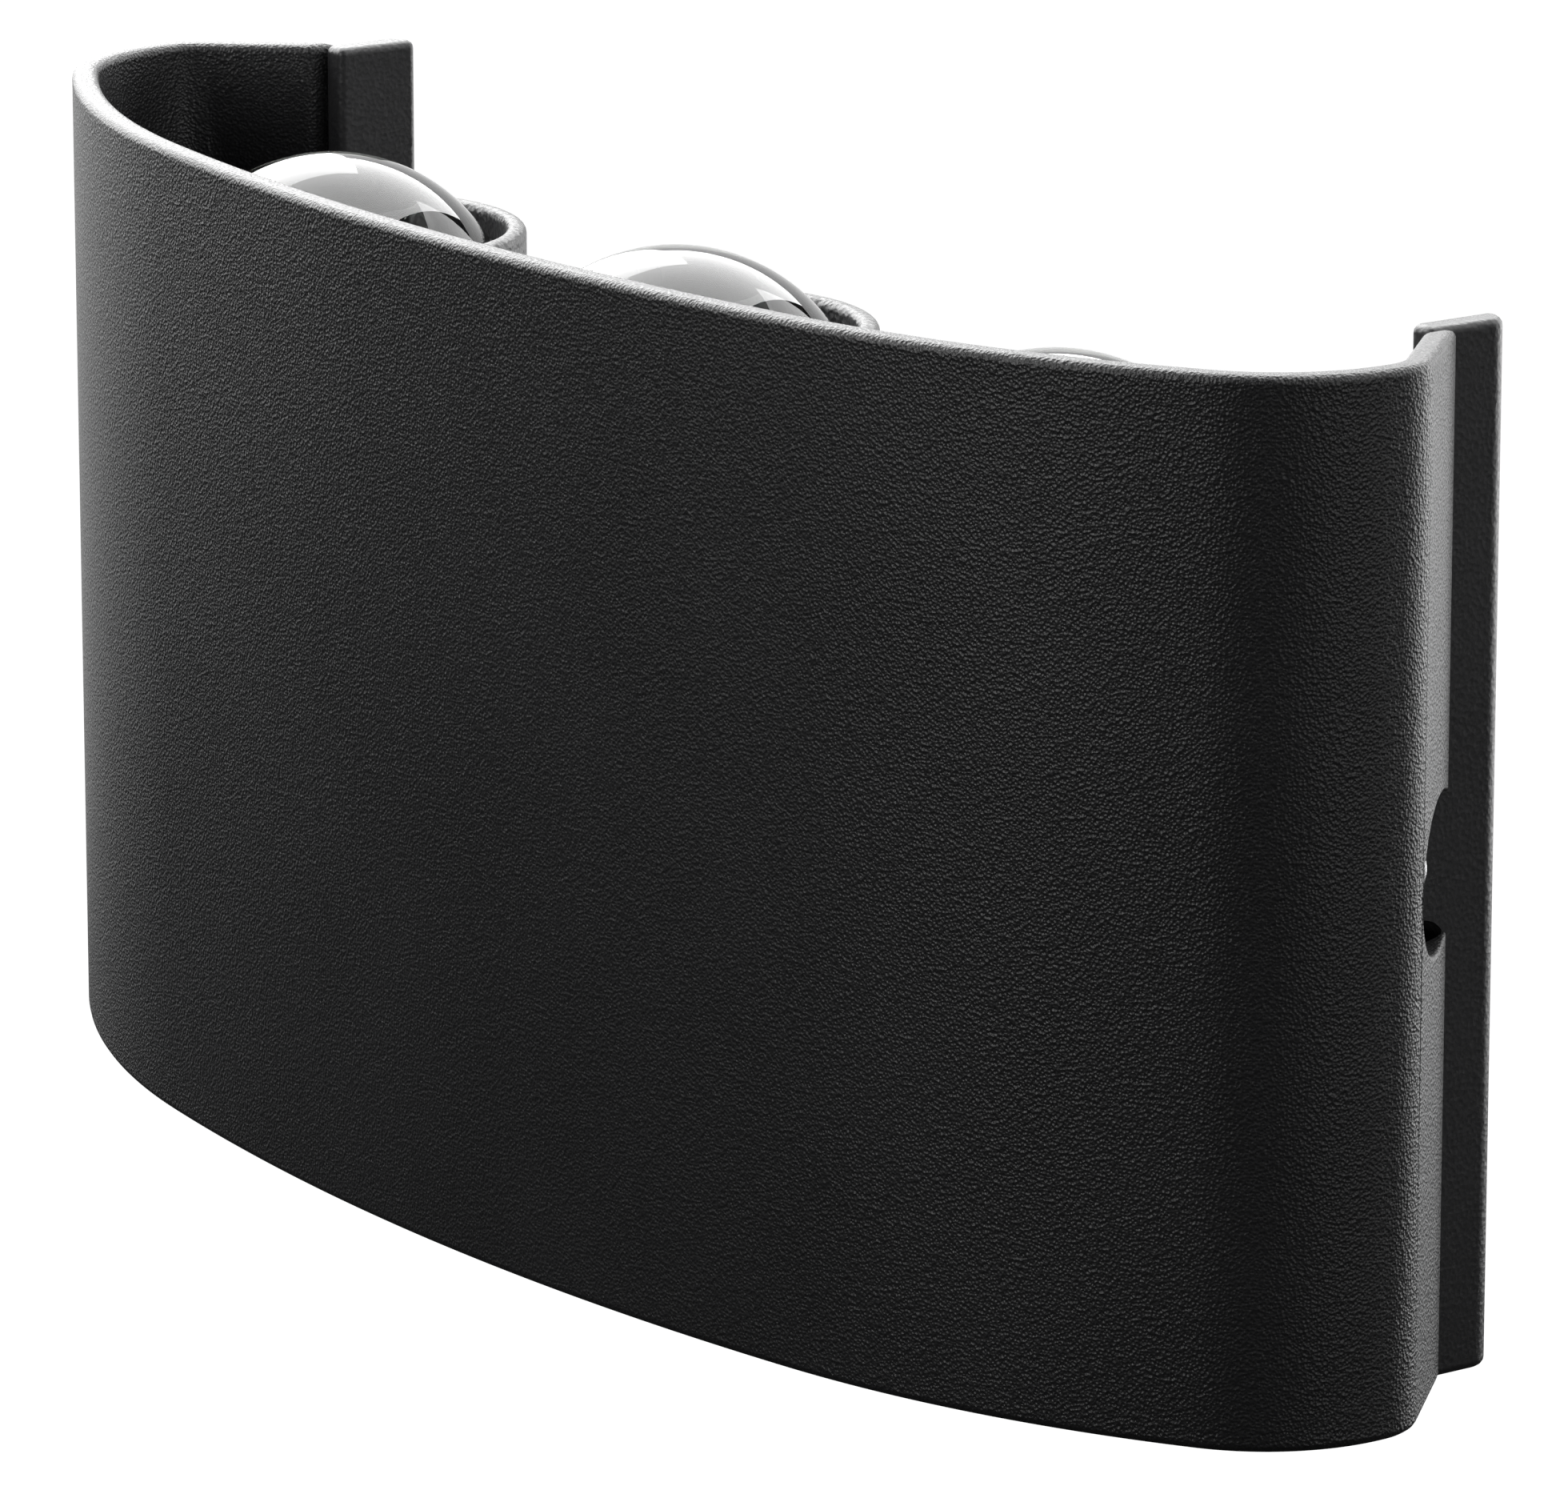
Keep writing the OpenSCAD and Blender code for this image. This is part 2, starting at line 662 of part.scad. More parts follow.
led(-1, -1);  // led_down_left
led(0, -1);  // led_down_middle
led(1, -1);  // led_down_right
led_leads();
driver_board();
driver_transformer();
driver_capacitor();
driver_chip();
terminal_block();
terminal_screws();
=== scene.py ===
"""Up and down wall light: finished looks built around its CAD frame.

Metres, in the row frame: +Z is up, the wall is the plane Y = 0 and the front faces -Y.
"""

import json
from math import cos, pi, radians, sin, sqrt, tan

import bmesh
import bpy
from mathutils import Matrix, Vector


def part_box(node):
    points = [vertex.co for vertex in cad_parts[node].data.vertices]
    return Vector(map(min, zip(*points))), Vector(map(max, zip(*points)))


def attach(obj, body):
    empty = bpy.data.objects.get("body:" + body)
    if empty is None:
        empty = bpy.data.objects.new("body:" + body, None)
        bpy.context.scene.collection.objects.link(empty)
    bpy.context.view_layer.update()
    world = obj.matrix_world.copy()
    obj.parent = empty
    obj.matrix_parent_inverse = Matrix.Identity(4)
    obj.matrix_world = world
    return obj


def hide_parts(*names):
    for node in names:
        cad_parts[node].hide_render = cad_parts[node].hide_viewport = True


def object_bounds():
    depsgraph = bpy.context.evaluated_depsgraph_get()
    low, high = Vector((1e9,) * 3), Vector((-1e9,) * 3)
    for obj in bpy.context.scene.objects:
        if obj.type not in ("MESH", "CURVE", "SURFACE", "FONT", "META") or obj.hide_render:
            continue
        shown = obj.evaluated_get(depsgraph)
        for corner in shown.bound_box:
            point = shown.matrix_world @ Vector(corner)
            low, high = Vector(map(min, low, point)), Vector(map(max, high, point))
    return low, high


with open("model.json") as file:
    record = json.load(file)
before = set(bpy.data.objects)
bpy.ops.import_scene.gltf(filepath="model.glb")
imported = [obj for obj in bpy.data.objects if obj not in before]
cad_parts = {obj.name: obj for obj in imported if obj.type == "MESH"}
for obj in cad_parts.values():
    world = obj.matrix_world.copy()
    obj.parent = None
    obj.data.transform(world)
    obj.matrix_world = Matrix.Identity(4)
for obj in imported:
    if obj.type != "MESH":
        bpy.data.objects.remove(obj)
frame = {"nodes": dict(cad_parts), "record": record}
cad_low, cad_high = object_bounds()

MM = 0.001
TINY = 0.01 * MM
SIDES = {"up": 1, "down": -1}
COLUMNS = {"left": -1, "middle": 0, "right": 1}

# ---------------------------------------------------------------- sizes taken from the frame

shade_low, shade_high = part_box("shade")
bracket_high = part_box("wall_bracket")[1]
lens_low, lens_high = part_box("lens_up_right")
ring_low, ring_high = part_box("ring_up_right")
seal_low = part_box("seal_up_right")[0]
board_low, board_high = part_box("led_board_up_right")
gasket_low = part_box("cover_gasket")[0]
side_screw_low, side_screw_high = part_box("side_screw_right")
pcb_low, pcb_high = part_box("driver_board")

half_w = shade_high.x
half_h = shade_high.z
face_y = shade_low.y
wing_x = bracket_high.x
screw_y = (side_screw_low.y + side_screw_high.y) / 2
lens_pitch = (lens_low.x + lens_high.x) / 2
lens_y = (lens_low.y + lens_high.y) / 2

# ---------------------------------------------------------------- sizes of the shapes made here

GAP = 0.3 * MM
EDGE_ROUND = 0.3 * MM
CAD_EDGE_ROUND = 0.12 * MM
OVER = 1 * MM  # how far a cutter reaches past a face
THROUGH = 20 * MM  # length of a cutter that only has to come out at the far end
SCREW_HOLE_DEPTH = 8 * MM

SHADE_T = 2.2 * MM
FRONT_ANGLE = radians(9.3)
SHOULDER_R = 88 * MM
SHOULDER_ANGLE = radians(23.5)
END_R = 14.7 * MM
SIDE_FLAT = 0.4 * MM
CORNER_R = 6 * MM
RETURN_TURN = radians(132)
RETURN_LAP = 2.1 * MM
RIM_ROUND = 0.7 * MM
NOTCH_R = 5.9 * MM
NOTCH_BACK = 2.1 * MM
NOTCH_ROUND = 0.35 * MM
POST_R = 3.2 * MM
POST_X = 20 * MM
POST_Z = 6.5 * MM
HOLE_R = 1.65 * MM
THREAD_R = 1.5 * MM
SHANK_R = 1.45 * MM

WING_T = 2.6 * MM
WING_DEPTH = 7.6 * MM
WING_CORNER_R = 1.8 * MM
WING_ROUND = 0.7 * MM
PLATE_T = 2.5 * MM
PLATE_H = 36 * MM
SLOT_SPACING = 100 * MM
SLOT_W = 4.6 * MM
SLOT_L = 10 * MM
WINDOW_R = 9 * MM
LUG_H = 8.8 * MM
RELIEF_R = 2.2 * MM
EARTH_X = -15 * MM
EARTH_Z = 12 * MM

BARREL_R = 15.9 * MM
BARREL_DROP = 9.8 * MM
BARREL_ROUND = 0.7 * MM
DOME_R = 15.1 * MM
DOME_STEPS = 28
NECK_R = 12.9 * MM
FLANGE_T = 2.5 * MM
KEY_W = 1.6 * MM
KEY_DEPTH = 1 * MM
SEAT_PLAY = 0.05 * MM
CHAMBER_PLAY = 0.2 * MM
CHAMBER_ROUND = 0.2 * MM

BOX_W = 132 * MM
BOX_H = 25 * MM
BOX_T = 2 * MM
BOX_FRONT = 14 * MM
BOX_CORNER_R = 8 * MM
BOSS_R = 2.6 * MM
BOSS_SINK = 0.8 * MM
BOSS_INSET = 3.5 * MM
PAD = 6 * MM
PAD_H = 10 * MM
PAD_D = 8 * MM
PILLAR_INSET = 6 * MM
PILLAR_HOLE_DEPTH = 5 * MM
COVER_SCREW_SHARES = (-1, -0.5, 0.5, 1)
BARREL_CLEAR = 0.2 * MM

SIDE_HEAD_R = 2.4 * MM
SIDE_HEAD_H = 1.6 * MM
SIDE_DRIVE_R = 1.2 * MM
SIDE_CROWN_ROUND = 0.6 * MM
SIDE_RIM_ROUND = 0.15 * MM

return_x = wing_x + GAP
shoulder_turn = FRONT_ANGLE + SHOULDER_ANGLE
corner_x = half_w - CORNER_R
return_len = (corner_x + CORNER_R * sin(RETURN_TURN) - return_x) / -cos(RETURN_TURN)
corner_y = RETURN_LAP - WING_DEPTH - return_len * sin(RETURN_TURN) + CORNER_R * cos(RETURN_TURN)
end_x = half_w - END_R
end_y = corner_y - SIDE_FLAT
shoulder_x = end_x - (SHOULDER_R - END_R) * sin(shoulder_turn)
shoulder_y = end_y + (SHOULDER_R - END_R) * cos(shoulder_turn)
front_r = SHOULDER_R + shoulder_x / sin(FRONT_ANGLE)
front_y = face_y + front_r

barrel_top = half_h - BARREL_DROP
box_y = face_y + BOX_FRONT
box_rear = gasket_low.y
inner_w = BOX_W - 2 * BOX_T
inner_h = BOX_H - 2 * BOX_T

# ---------------------------------------------------------------- mesh tools


def face_outward(piece):
    work = bmesh.new()
    work.from_mesh(piece.data)
    bmesh.ops.recalc_face_normals(work, faces=work.faces)
    work.to_mesh(piece.data)
    work.free()
    return piece


def new_piece(name, vertices, faces):
    mesh = bpy.data.meshes.new(name)
    mesh.from_pydata([tuple(v) for v in vertices], [], faces)
    mesh.validate()
    piece = bpy.data.objects.new(name, mesh)
    bpy.context.scene.collection.objects.link(piece)
    return face_outward(piece)


def mirror(piece, axis):
    """Turns the piece into its own mirror image across the plane square to the axis."""
    piece.data.transform(Matrix.Scale(-1, 4, axis))
    return face_outward(piece)


def fillet(points, radii, steps=5):
    """The closed outline with each corner rounded to its radius."""
    made = []
    for k, (x, y) in enumerate(points):
        here = Vector((x, y))
        before = (Vector(points[k - 1]) - here).normalized()
        after = (Vector(points[(k + 1) % len(points)]) - here).normalized()
        if radii[k] == 0:
            made.append((x, y))
            continue
        half = before.angle(after) / 2
        reach = radii[k] / tan(half)
        centre = here + (before + after).normalized() * (radii[k] / sin(half))
        start = here + before * reach - centre
        turn = start.angle_signed(here + after * reach - centre)
        for n in range(steps + 1):
            spot = centre + Matrix.Rotation(-turn * n / steps, 2) @ start
            made.append((spot.x, spot.y))
    return made


def lathe(name, profile, segments=128):
    """Turns a closed outline of (radius, height) round the Z axis."""
    vertices = []
    rings = []
    for r, z in profile:
        if r < TINY:
            rings.append([len(vertices)] * segments)
            vertices.append((0, 0, z))
            continue
        rings.append(list(range(len(vertices), len(vertices) + segments)))
        for k in range(segments):
            turn = 2 * pi * k / segments
            vertices.append((r * cos(turn), r * sin(turn), z))
    faces = []
    for k, ring in enumerate(rings):
        other = rings[(k + 1) % len(rings)]
        for n in range(segments):
            m = (n + 1) % segments
            corners = list(dict.fromkeys((ring[n], ring[m], other[m], other[n])))
            if len(corners) > 2:
                faces.append(corners)
    return new_piece(name, vertices, faces)


def prism(name, outline, low, high):
    """Raises a closed outline of (x, y) from one height to another."""
    count = len(outline)
    vertices = [(x, y, z) for z in (low, high) for x, y in outline]
    faces = [list(range(count)), list(range(count, 2 * count))]
    for k in range(count):
        m = (k + 1) % count
        faces.append([k, m, count + m, count + k])
    return new_piece(name, vertices, faces)


def ribbon(name, outer, inner, low, high):
    """Raises the wall between two open lines of equal length, in clean quads."""
    count = len(outer)
    rows = [[(x, y, z) for x, y in line] for z in (low, high) for line in (outer, inner)]
    vertices = [v for row in rows for v in row]
    outer_low, inner_low, outer_high, inner_high = (range(k * count, (k + 1) * count) for k in range(4))
    faces = []
    for k in range(count - 1):
        for a, b in (
            (outer_low, outer_high),
            (outer_high, inner_high),
            (inner_high, inner_low),
            (inner_low, outer_low),
        ):
            faces.append([a[k], a[k + 1], b[k + 1], b[k]])
    for k in (0, count - 1):
        faces.append([outer_low[k], outer_high[k], inner_high[k], inner_low[k]])
    return new_piece(name, vertices, faces)


def block(low, high):
    (x0, y0, z0), (x1, y1, z1) = low, high
    return prism("block", [(x0, y0), (x1, y0), (x1, y1), (x0, y1)], z0, z1)


SIDE_AXES = ((-1, "-x"), (1, "x"))
TURN_TO = {
    "x": Matrix.Rotation(pi / 2, 4, "Y"),
    "-x": Matrix.Rotation(-pi / 2, 4, "Y"),
    "y": Matrix.Rotation(-pi / 2, 4, "X"),
    "z": Matrix.Identity(4),
}


def rod(at, axis, r, length, segments=64):
    """A round bar from a point along an axis."""
    made = lathe("rod", [(0, 0), (r, 0), (r, length), (0, length)], segments)
    made.data.transform(Matrix.Translation(at) @ TURN_TO[axis])
    return made


def settle(piece):
    """Applies the piece's modifiers to its mesh."""
    graph = bpy.context.evaluated_depsgraph_get()
    mesh = bpy.data.meshes.new_from_object(piece.evaluated_get(graph))
    piece.modifiers.clear()
    old, piece.data = piece.data, mesh
    bpy.data.meshes.remove(old)
    return piece


def combine(piece, others, operation):
    """Adds the others to the piece, or cuts them out of it."""
    for other in others:
        step = piece.modifiers.new("combine", "BOOLEAN")
        step.operation = operation
        step.solver = "EXACT"
        step.object = other
        settle(piece)
        bpy.data.objects.remove(other)
    return piece


def round_edges(piece, width, chosen=lambda middle: True, segments=4, angle=30):
    """Rounds the edges sharper than the angle whose middle is chosen."""
    work = bmesh.new()
    work.from_mesh(piece.data)
    weight = work.edges.layers.float.new("bevel_weight_edge")
    for edge in work.edges:
        middle = (edge.verts[0].co + edge.verts[1].co) / 2
        sharp = len(edge.link_faces) == 2 and edge.calc_face_angle() > radians(angle)
        edge[weight] = float(sharp and chosen(middle))
    work.to_mesh(piece.data)
    work.free()
    step = piece.modifiers.new("round", "BEVEL")
    step.width = width
    step.segments = segments
    step.limit_method = "WEIGHT"
    step.use_clamp_overlap = False
    settle(piece)
    used = piece.data.attributes.get("bevel_weight_edge")
    if used:
        piece.data.attributes.remove(used)
    return piece


def shade_smooth(piece, angle=40):
    """Shades the piece smooth up to the angle, with its large faces kept looking flat."""
    piece.data.shade_smooth()
    piece.data.set_sharp_from_angle(angle=radians(angle))
    weigh = piece.modifiers.new("weigh", "WEIGHTED_NORMAL")
    weigh.keep_sharp = True
    weigh.weight = 100
    return piece


def finish_piece(piece, name, body, slot, *nodes):
    """Names a piece, gives it its finish, hangs it on the body it rides on, and hides the CAD parts it
    stands in for.
    """
    piece.name = name
    piece.data.name = name
    piece.data.materials.clear()
    piece.data.materials.append(FINISHES[slot])
    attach(piece, body)
    if nodes:
        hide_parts(*nodes)
    return piece


# ---------------------------------------------------------------- finishes

NOISE_LOW = 0.3
NOISE_HIGH = 0.7
CLOUD_SCALE = 60
CLOUD_SPREAD = 0.15
GLOSS_SPREAD = 0.06
PEBBLE_SMOOTHNESS = 0.25
GRAIN_PER_PEBBLE = 1.3
GRAINS_PER_CLOUD = 12
PLAIN_GLOSS_SPREAD = 0.2


class Nodes:
    """Builds the node tree of one material, with its shader as self.shader."""

    def __init__(self, name):
        self.material = bpy.data.materials.new(name)
        self.material.use_nodes = True
        self.tree = self.material.node_tree
        self.shader = self.tree.nodes["Principled BSDF"]
        self.place = self.add("ShaderNodeTexCoord").outputs["Object"]

    def add(self, kind, **values):
        node = self.tree.nodes.new(kind)
        for key, value in values.items():
            setattr(node, key, value)
        return node

    def link(self, source, target):
        self.tree.links.new(source, target)

    def noise(self, scale, detail=2.0, stretch=(1, 1, 1)):
        mapping = self.add("ShaderNodeMapping")
        mapping.inputs["Scale"].default_value = stretch
        self.link(self.place, mapping.inputs["Vector"])
        node = self.add("ShaderNodeTexNoise")
        node.inputs["Scale"].default_value = scale
        node.inputs["Detail"].default_value = detail
        self.link(mapping.outputs["Vector"], node.inputs["Vector"])
        return node.outputs["Fac"]

    def pebbles(self, scale):
        node = self.add("ShaderNodeTexVoronoi", feature="SMOOTH_F1")
        node.inputs["Scale"].default_value = scale
        node.inputs["Smoothness"].default_value = PEBBLE_SMOOTHNESS
        self.link(self.place, node.inputs["Vector"])
        return node.outputs["Distance"]

    def spread(self, value, low, high):
        """Stretches a noise over the numbers from low to high."""
        node = self.add("ShaderNodeMapRange")
        node.inputs["From Min"].default_value = NOISE_LOW
        node.inputs["From Max"].default_value = NOISE_HIGH
        node.inputs["To Min"].default_value = low
        node.inputs["To Max"].default_value = high
        self.link(value, node.inputs["Value"])
        return node.outputs["Result"]

    def tint(self, value, dark, light):
        """Turns a noise into colours from dark to light."""
        node = self.add("ShaderNodeValToRGB")
        ramp = node.color_ramp.elements
        ramp[0].position = NOISE_LOW
        ramp[0].color = (*dark, 1)
        ramp[1].position = NOISE_HIGH
        ramp[1].color = (*light, 1)
        self.link(value, node.inputs["Fac"])
        return node.outputs["Color"]

    def colour(self, value, middle, share):
        """Colours the shader by a noise, from this share darker to this share lighter."""
        dark = [c * (1 - share) for c in middle]
        light = [min(1, c * (1 + share)) for c in middle]
        self.link(self.tint(value, dark, light), self.shader.inputs["Base Color"])

    def gloss(self, value, low, high):
        self.link(self.spread(value, low, high), self.shader.inputs["Roughness"])

    def bump(self, layers):
        """Stacks (height, depth in metres) layers into the shader's normal."""
        below = None
        for height, depth in layers:
            node = self.add("ShaderNodeBump")
            node.inputs["Distance"].default_value = depth
            self.link(height, node.inputs["Height"])
            if below is not None:
                self.link(below, node.inputs["Normal"])
            below = node.outputs["Normal"]
        self.link(below, self.shader.inputs["Normal"])

    def set(self, **values):
        for key, value in values.items():
            self.shader.inputs[key.replace("_", " ")].default_value = value


def powder_coat(name, colour, roughness, pebble_scale, pebble_depth, fine_depth):
    """Textured powder coat: packed pebbles with a finer orange peel over them."""
    made = Nodes(name)
    grain = made.noise(pebble_scale * GRAIN_PER_PEBBLE, 3)
    made.colour(made.noise(CLOUD_SCALE), colour, CLOUD_SPREAD)
    made.gloss(grain, roughness - GLOSS_SPREAD, roughness + GLOSS_SPREAD)
    made.bump([(made.pebbles(pebble_scale), pebble_depth), (grain, fine_depth)])
    return made.material


def plain(
    name, colour, roughness, grain=900, depth=0.02 * MM, metallic=0.0, stretch=(1, 1, 1), spread=0.12
):
    """A moulded, cast, plated or brushed surface with a light grain and uneven gloss."""
    made = Nodes(name)
    grains = made.noise(grain, 3, stretch)
    made.colour(made.noise(grain / GRAINS_PER_CLOUD), colour, spread)
    made.gloss(grains, roughness * (1 - PLAIN_GLOSS_SPREAD), roughness * (1 + PLAIN_GLOSS_SPREAD))
    made.bump([(grains, depth)])
    made.set(Metallic=metallic)
    return made.material


def metal(name, colour, roughness):
    """Plated or turned metal with a fine grain drawn out along Z."""
    return plain(name, colour, roughness, depth=0.01 * MM, metallic=1.0, stretch=(1, 1, 6))


def clear_glass(name):
    """Polished glass with the faintest moulding waves."""
    made = Nodes(name)
    wave = made.noise(90, 1)
    made.link(made.tint(wave, (0.95, 0.97, 0.97), (0.99, 1, 1)), made.shader.inputs["Base Color"])
    made.gloss(wave, 0.0, 0.02)
    made.bump([(wave, 0.02 * MM)])
    made.set(Transmission_Weight=1.0, IOR=1.5)
    return made.material


def phosphor(name):
    """Yellow phosphor specks in clear silicone."""
    made = Nodes(name)
    speck = made.noise(4000, 4)
    made.link(made.tint(speck, (0.75, 0.55, 0.10), (0.95, 0.80, 0.25)), made.shader.inputs["Base Color"])
    made.gloss(speck, 0.12, 0.3)
    made.bump([(speck, 0.01 * MM)])
    made.set(Coat_Weight=0.6, Coat_Roughness=0.05)
    return made.material


FINISHES = {
    "shade_finish": powder_coat(
        "shade_finish",
        (0.008, 0.008, 0.0086),
        roughness=0.4,
        pebble_scale=3900,
        pebble_depth=0.075 * MM,
        fine_depth=0.03 * MM,
    ),
    "cast_finish": powder_coat(
        "cast_finish",
        (0.012, 0.012, 0.0128),
        roughness=0.4,
        pebble_scale=2000,
        pebble_depth=0.1 * MM,
        fine_depth=0.05 * MM,
    ),
    "bracket_finish": powder_coat(
        "bracket_finish",
        (0.014, 0.014, 0.0148),
        roughness=0.4,
        pebble_scale=2400,
        pebble_depth=0.03 * MM,
        fine_depth=0.02 * MM,
    ),
    "gasket_rubber": plain("gasket_rubber", (0.02, 0.02, 0.02), 0.7, grain=700),
    "seal_silicone": plain("seal_silicone", (0.42, 0.42, 0.41), 0.5, grain=500),
    "screw_steel": metal("screw_steel", (0.62, 0.62, 0.63), 0.28),
    "earth_brass": metal("earth_brass", (0.72, 0.52, 0.22), 0.3),
    "lens_glass": clear_glass("lens_glass"),
    "reflector_white": plain("reflector_white", (0.8, 0.8, 0.79), 0.25, grain=400, depth=0.01 * MM),
    "board_aluminium": plain("board_aluminium", (0.78, 0.78, 0.77), 0.35, grain=600),
    "led_phosphor": phosphor("led_phosphor"),
    "lead_insulation": plain("lead_insulation", (0.45, 0.03, 0.025), 0.45, grain=600),
    "driver_board_green": plain("driver_board_green", (0.02, 0.16, 0.06), 0.35, grain=1500, spread=0.3),
    "component_dark": plain("component_dark", (0.03, 0.028, 0.025), 0.5, grain=1200),
    "capacitor_sleeve": plain("capacitor_sleeve", (0.02, 0.03, 0.12), 0.25, grain=500, depth=0.01 * MM),
    "terminal_plastic": plain("terminal_plastic", (0.7, 0.7, 0.66), 0.45, grain=500),
}

# ---------------------------------------------------------------- the shade


def arc(x, y, r, turn_from, turn_to, steps):
    """Points along an arc, turned from one heading to another about x, y."""
    turns = [turn_from + (turn_to - turn_from) * k / steps for k in range(1, steps + 1)]
    return [(x + r * sin(turn), y - r * cos(turn)) for turn in turns]


def half_outline(inset):
    """The right half of the shade's plan, this far inside its outer face."""
    r = CORNER_R - inset
    x = corner_x + r * sin(RETURN_TURN)
    y = corner_y - r * cos(RETURN_TURN)
    points = arc(0, front_y, front_r - inset, 0, FRONT_ANGLE, 24)
    points += arc(shoulder_x, shoulder_y, SHOULDER_R - inset, FRONT_ANGLE, shoulder_turn, 32)
    points += arc(end_x, end_y, END_R - inset, shoulder_turn, pi / 2, 32)
    points += arc(corner_x, corner_y, r, pi / 2, RETURN_TURN, 16)
    return points + [(return_x, y - (x - return_x) * tan(RETURN_TURN))]


def full_outline(inset):
    right = half_outline(inset)
    return [(-x, y) for x, y in reversed(right)] + [(0, face_y + inset)] + right


def in_notch(spot):
    return abs(spot.x) > wing_x and abs(spot.z) < NOTCH_R + OVER


def make_shade():
    shell = ribbon("shade_shell", full_outline(0), full_outline(SHADE_T), -half_h, half_h)
    round_edges(shell, RIM_ROUND)
    screws = [(x, z) for x in (-POST_X, POST_X) for z in (-POST_Z, POST_Z)]
    post_y = face_y + SHADE_T / 2
    combine(shell, [rod((x, post_y, z), "y", POST_R, box_y - post_y) for x, z in screws], "UNION")
    hole_y = box_y - SCREW_HOLE_DEPTH
    cuts = [rod((x, hole_y, z), "y", THREAD_R, SCREW_HOLE_DEPTH + OVER) for x, z in screws]
    for side, axis in SIDE_AXES:
        at = (side * (wing_x - WING_T), screw_y + NOTCH_BACK, 0)
        cuts.append(rod(at, axis, NOTCH_R, THROUGH, 96))
    combine(shell, cuts, "DIFFERENCE")
    round_edges(shell, NOTCH_ROUND, in_notch)
    shade_smooth(shell)
    return finish_piece(shell, "shade_shell", "lamp", "shade_finish", "shade")


make_shade()

# ---------------------------------------------------------------- the housing with its barrels


def box_plan(w, low, high, r):
    """Outline of the driver box seen from above, with round front corners."""
    corners = [(-w / 2, low), (w / 2, low), (w / 2, high), (-w / 2, high)]
    return fillet(corners, [r, r, 0, 0], 12)


def place_in_barrel(piece, column, side):
    """Stands a piece that was turned round the Z axis in one of the barrels."""
    piece.data.transform(Matrix.Translation((column * lens_pitch, lens_y, 0)))
    return piece if side > 0 else mirror(piece, (0, 0, 1))


def make_barrel(column, side):
    """One cup: closed below, with a stepped bore and a softly rounded rim."""
    floor_z = BOX_H / 2 - BOX_T
    mouth_r = (ring_high.x - ring_low.x) / 2 + SEAT_PLAY
    chamber_r = (board_high.x - board_low.x) / 2 + CHAMBER_PLAY
    profile = fillet(
        [
            (0, floor_z),
            (BARREL_R, floor_z),
            (BARREL_R, barrel_top),
            (mouth_r, barrel_top),
            (mouth_r, seal_low.z),
            (chamber_r, seal_low.z),
            (chamber_r, board_low.z),
            (0, board_low.z),
        ],
        [0, 0, BARREL_ROUND, BARREL_ROUND, 0, CHAMBER_ROUND, 0, 0],
    )
    return place_in_barrel(lathe("barrel", profile, 160), column, side)


def make_housing():
    case = prism("housing_case", box_plan(BOX_W, box_y, box_rear, BOX_CORNER_R), -BOX_H / 2, BOX_H / 2)
    hollow = prism(
        "hollow",
        box_plan(inner_w, box_y + BOX_T, box_rear + BOX_T, BOX_CORNER_R - BOX_T),
        -inner_h / 2,
        inner_h / 2,
    )
    round_edges(case, EDGE_ROUND)
    combine(case, [hollow], "DIFFERENCE")
    barrels = [make_barrel(column, side) for column in COLUMNS.values() for side in SIDES.values()]
    room_z = BOX_H / 2 - BARREL_CLEAR
    room = block((-BOX_W, box_rear, -room_z), (BOX_W, box_rear + BARREL_R, room_z))
    combine(barrels[0], barrels[1:], "UNION")
    combine(barrels[0], [room], "DIFFERENCE")
    added = [barrels[0]]
    cuts = []
    for side, axis in SIDE_AXES:
        boss_start = BOX_W / 2 - BOX_T / 2
        boss_end = wing_x - WING_T - GAP
        added.append(rod((side * boss_start, screw_y, 0), axis, LUG_H / 2, boss_end - boss_start))
        x0, x1 = sorted((side * (inner_w / 2 + BOX_T / 2), side * (inner_w / 2 - PAD)))
        added.append(block((x0, box_rear - PAD_D, -PAD_H / 2), (x1, box_rear, PAD_H / 2)))
        cuts.append(rod((side * (inner_w / 2 - PAD + OVER), screw_y, 0), axis, THREAD_R, THROUGH))
    boss_z = inner_h / 2 - BOSS_R + BOSS_SINK
    for share in COVER_SCREW_SHARES:
        for z in (-boss_z, boss_z):
            x = share * (inner_w / 2 - BOSS_INSET)
            added.append(rod((x, box_y + BOX_T / 2, z), "y", BOSS_R, box_rear - box_y - BOX_T / 2, 48))
            at = (x, box_rear - SCREW_HOLE_DEPTH, z)
            cuts.append(rod(at, "y", THREAD_R, SCREW_HOLE_DEPTH + OVER, 48))
    for x in (-1, 1):
        at_x = x * (pcb_high.x - PILLAR_INSET)
        pcb_y = (pcb_low.y + pcb_high.y) / 2
        floor_z = -inner_h / 2 - BOX_T / 2
        added.append(rod((at_x, pcb_y, floor_z), "z", BOSS_R, pcb_low.z - floor_z, 48))
        hole_z = pcb_low.z - PILLAR_HOLE_DEPTH
        cuts.append(rod((at_x, pcb_y, hole_z), "z", THREAD_R, PILLAR_HOLE_DEPTH + OVER, 48))
    for x in (-POST_X, POST_X):
        for z in (-POST_Z, POST_Z):
            cuts.append(rod((x, box_y - OVER, z), "y", HOLE_R, BOX_T + 2 * OVER, 48))
    combine(case, added, "UNION")
    combine(case, cuts, "DIFFERENCE")
    shade_smooth(case)
    return finish_piece(case, "housing_casting", "lamp", "cast_finish", "housing")


make_housing()

# ---------------------------------------------------------------- rings and lenses


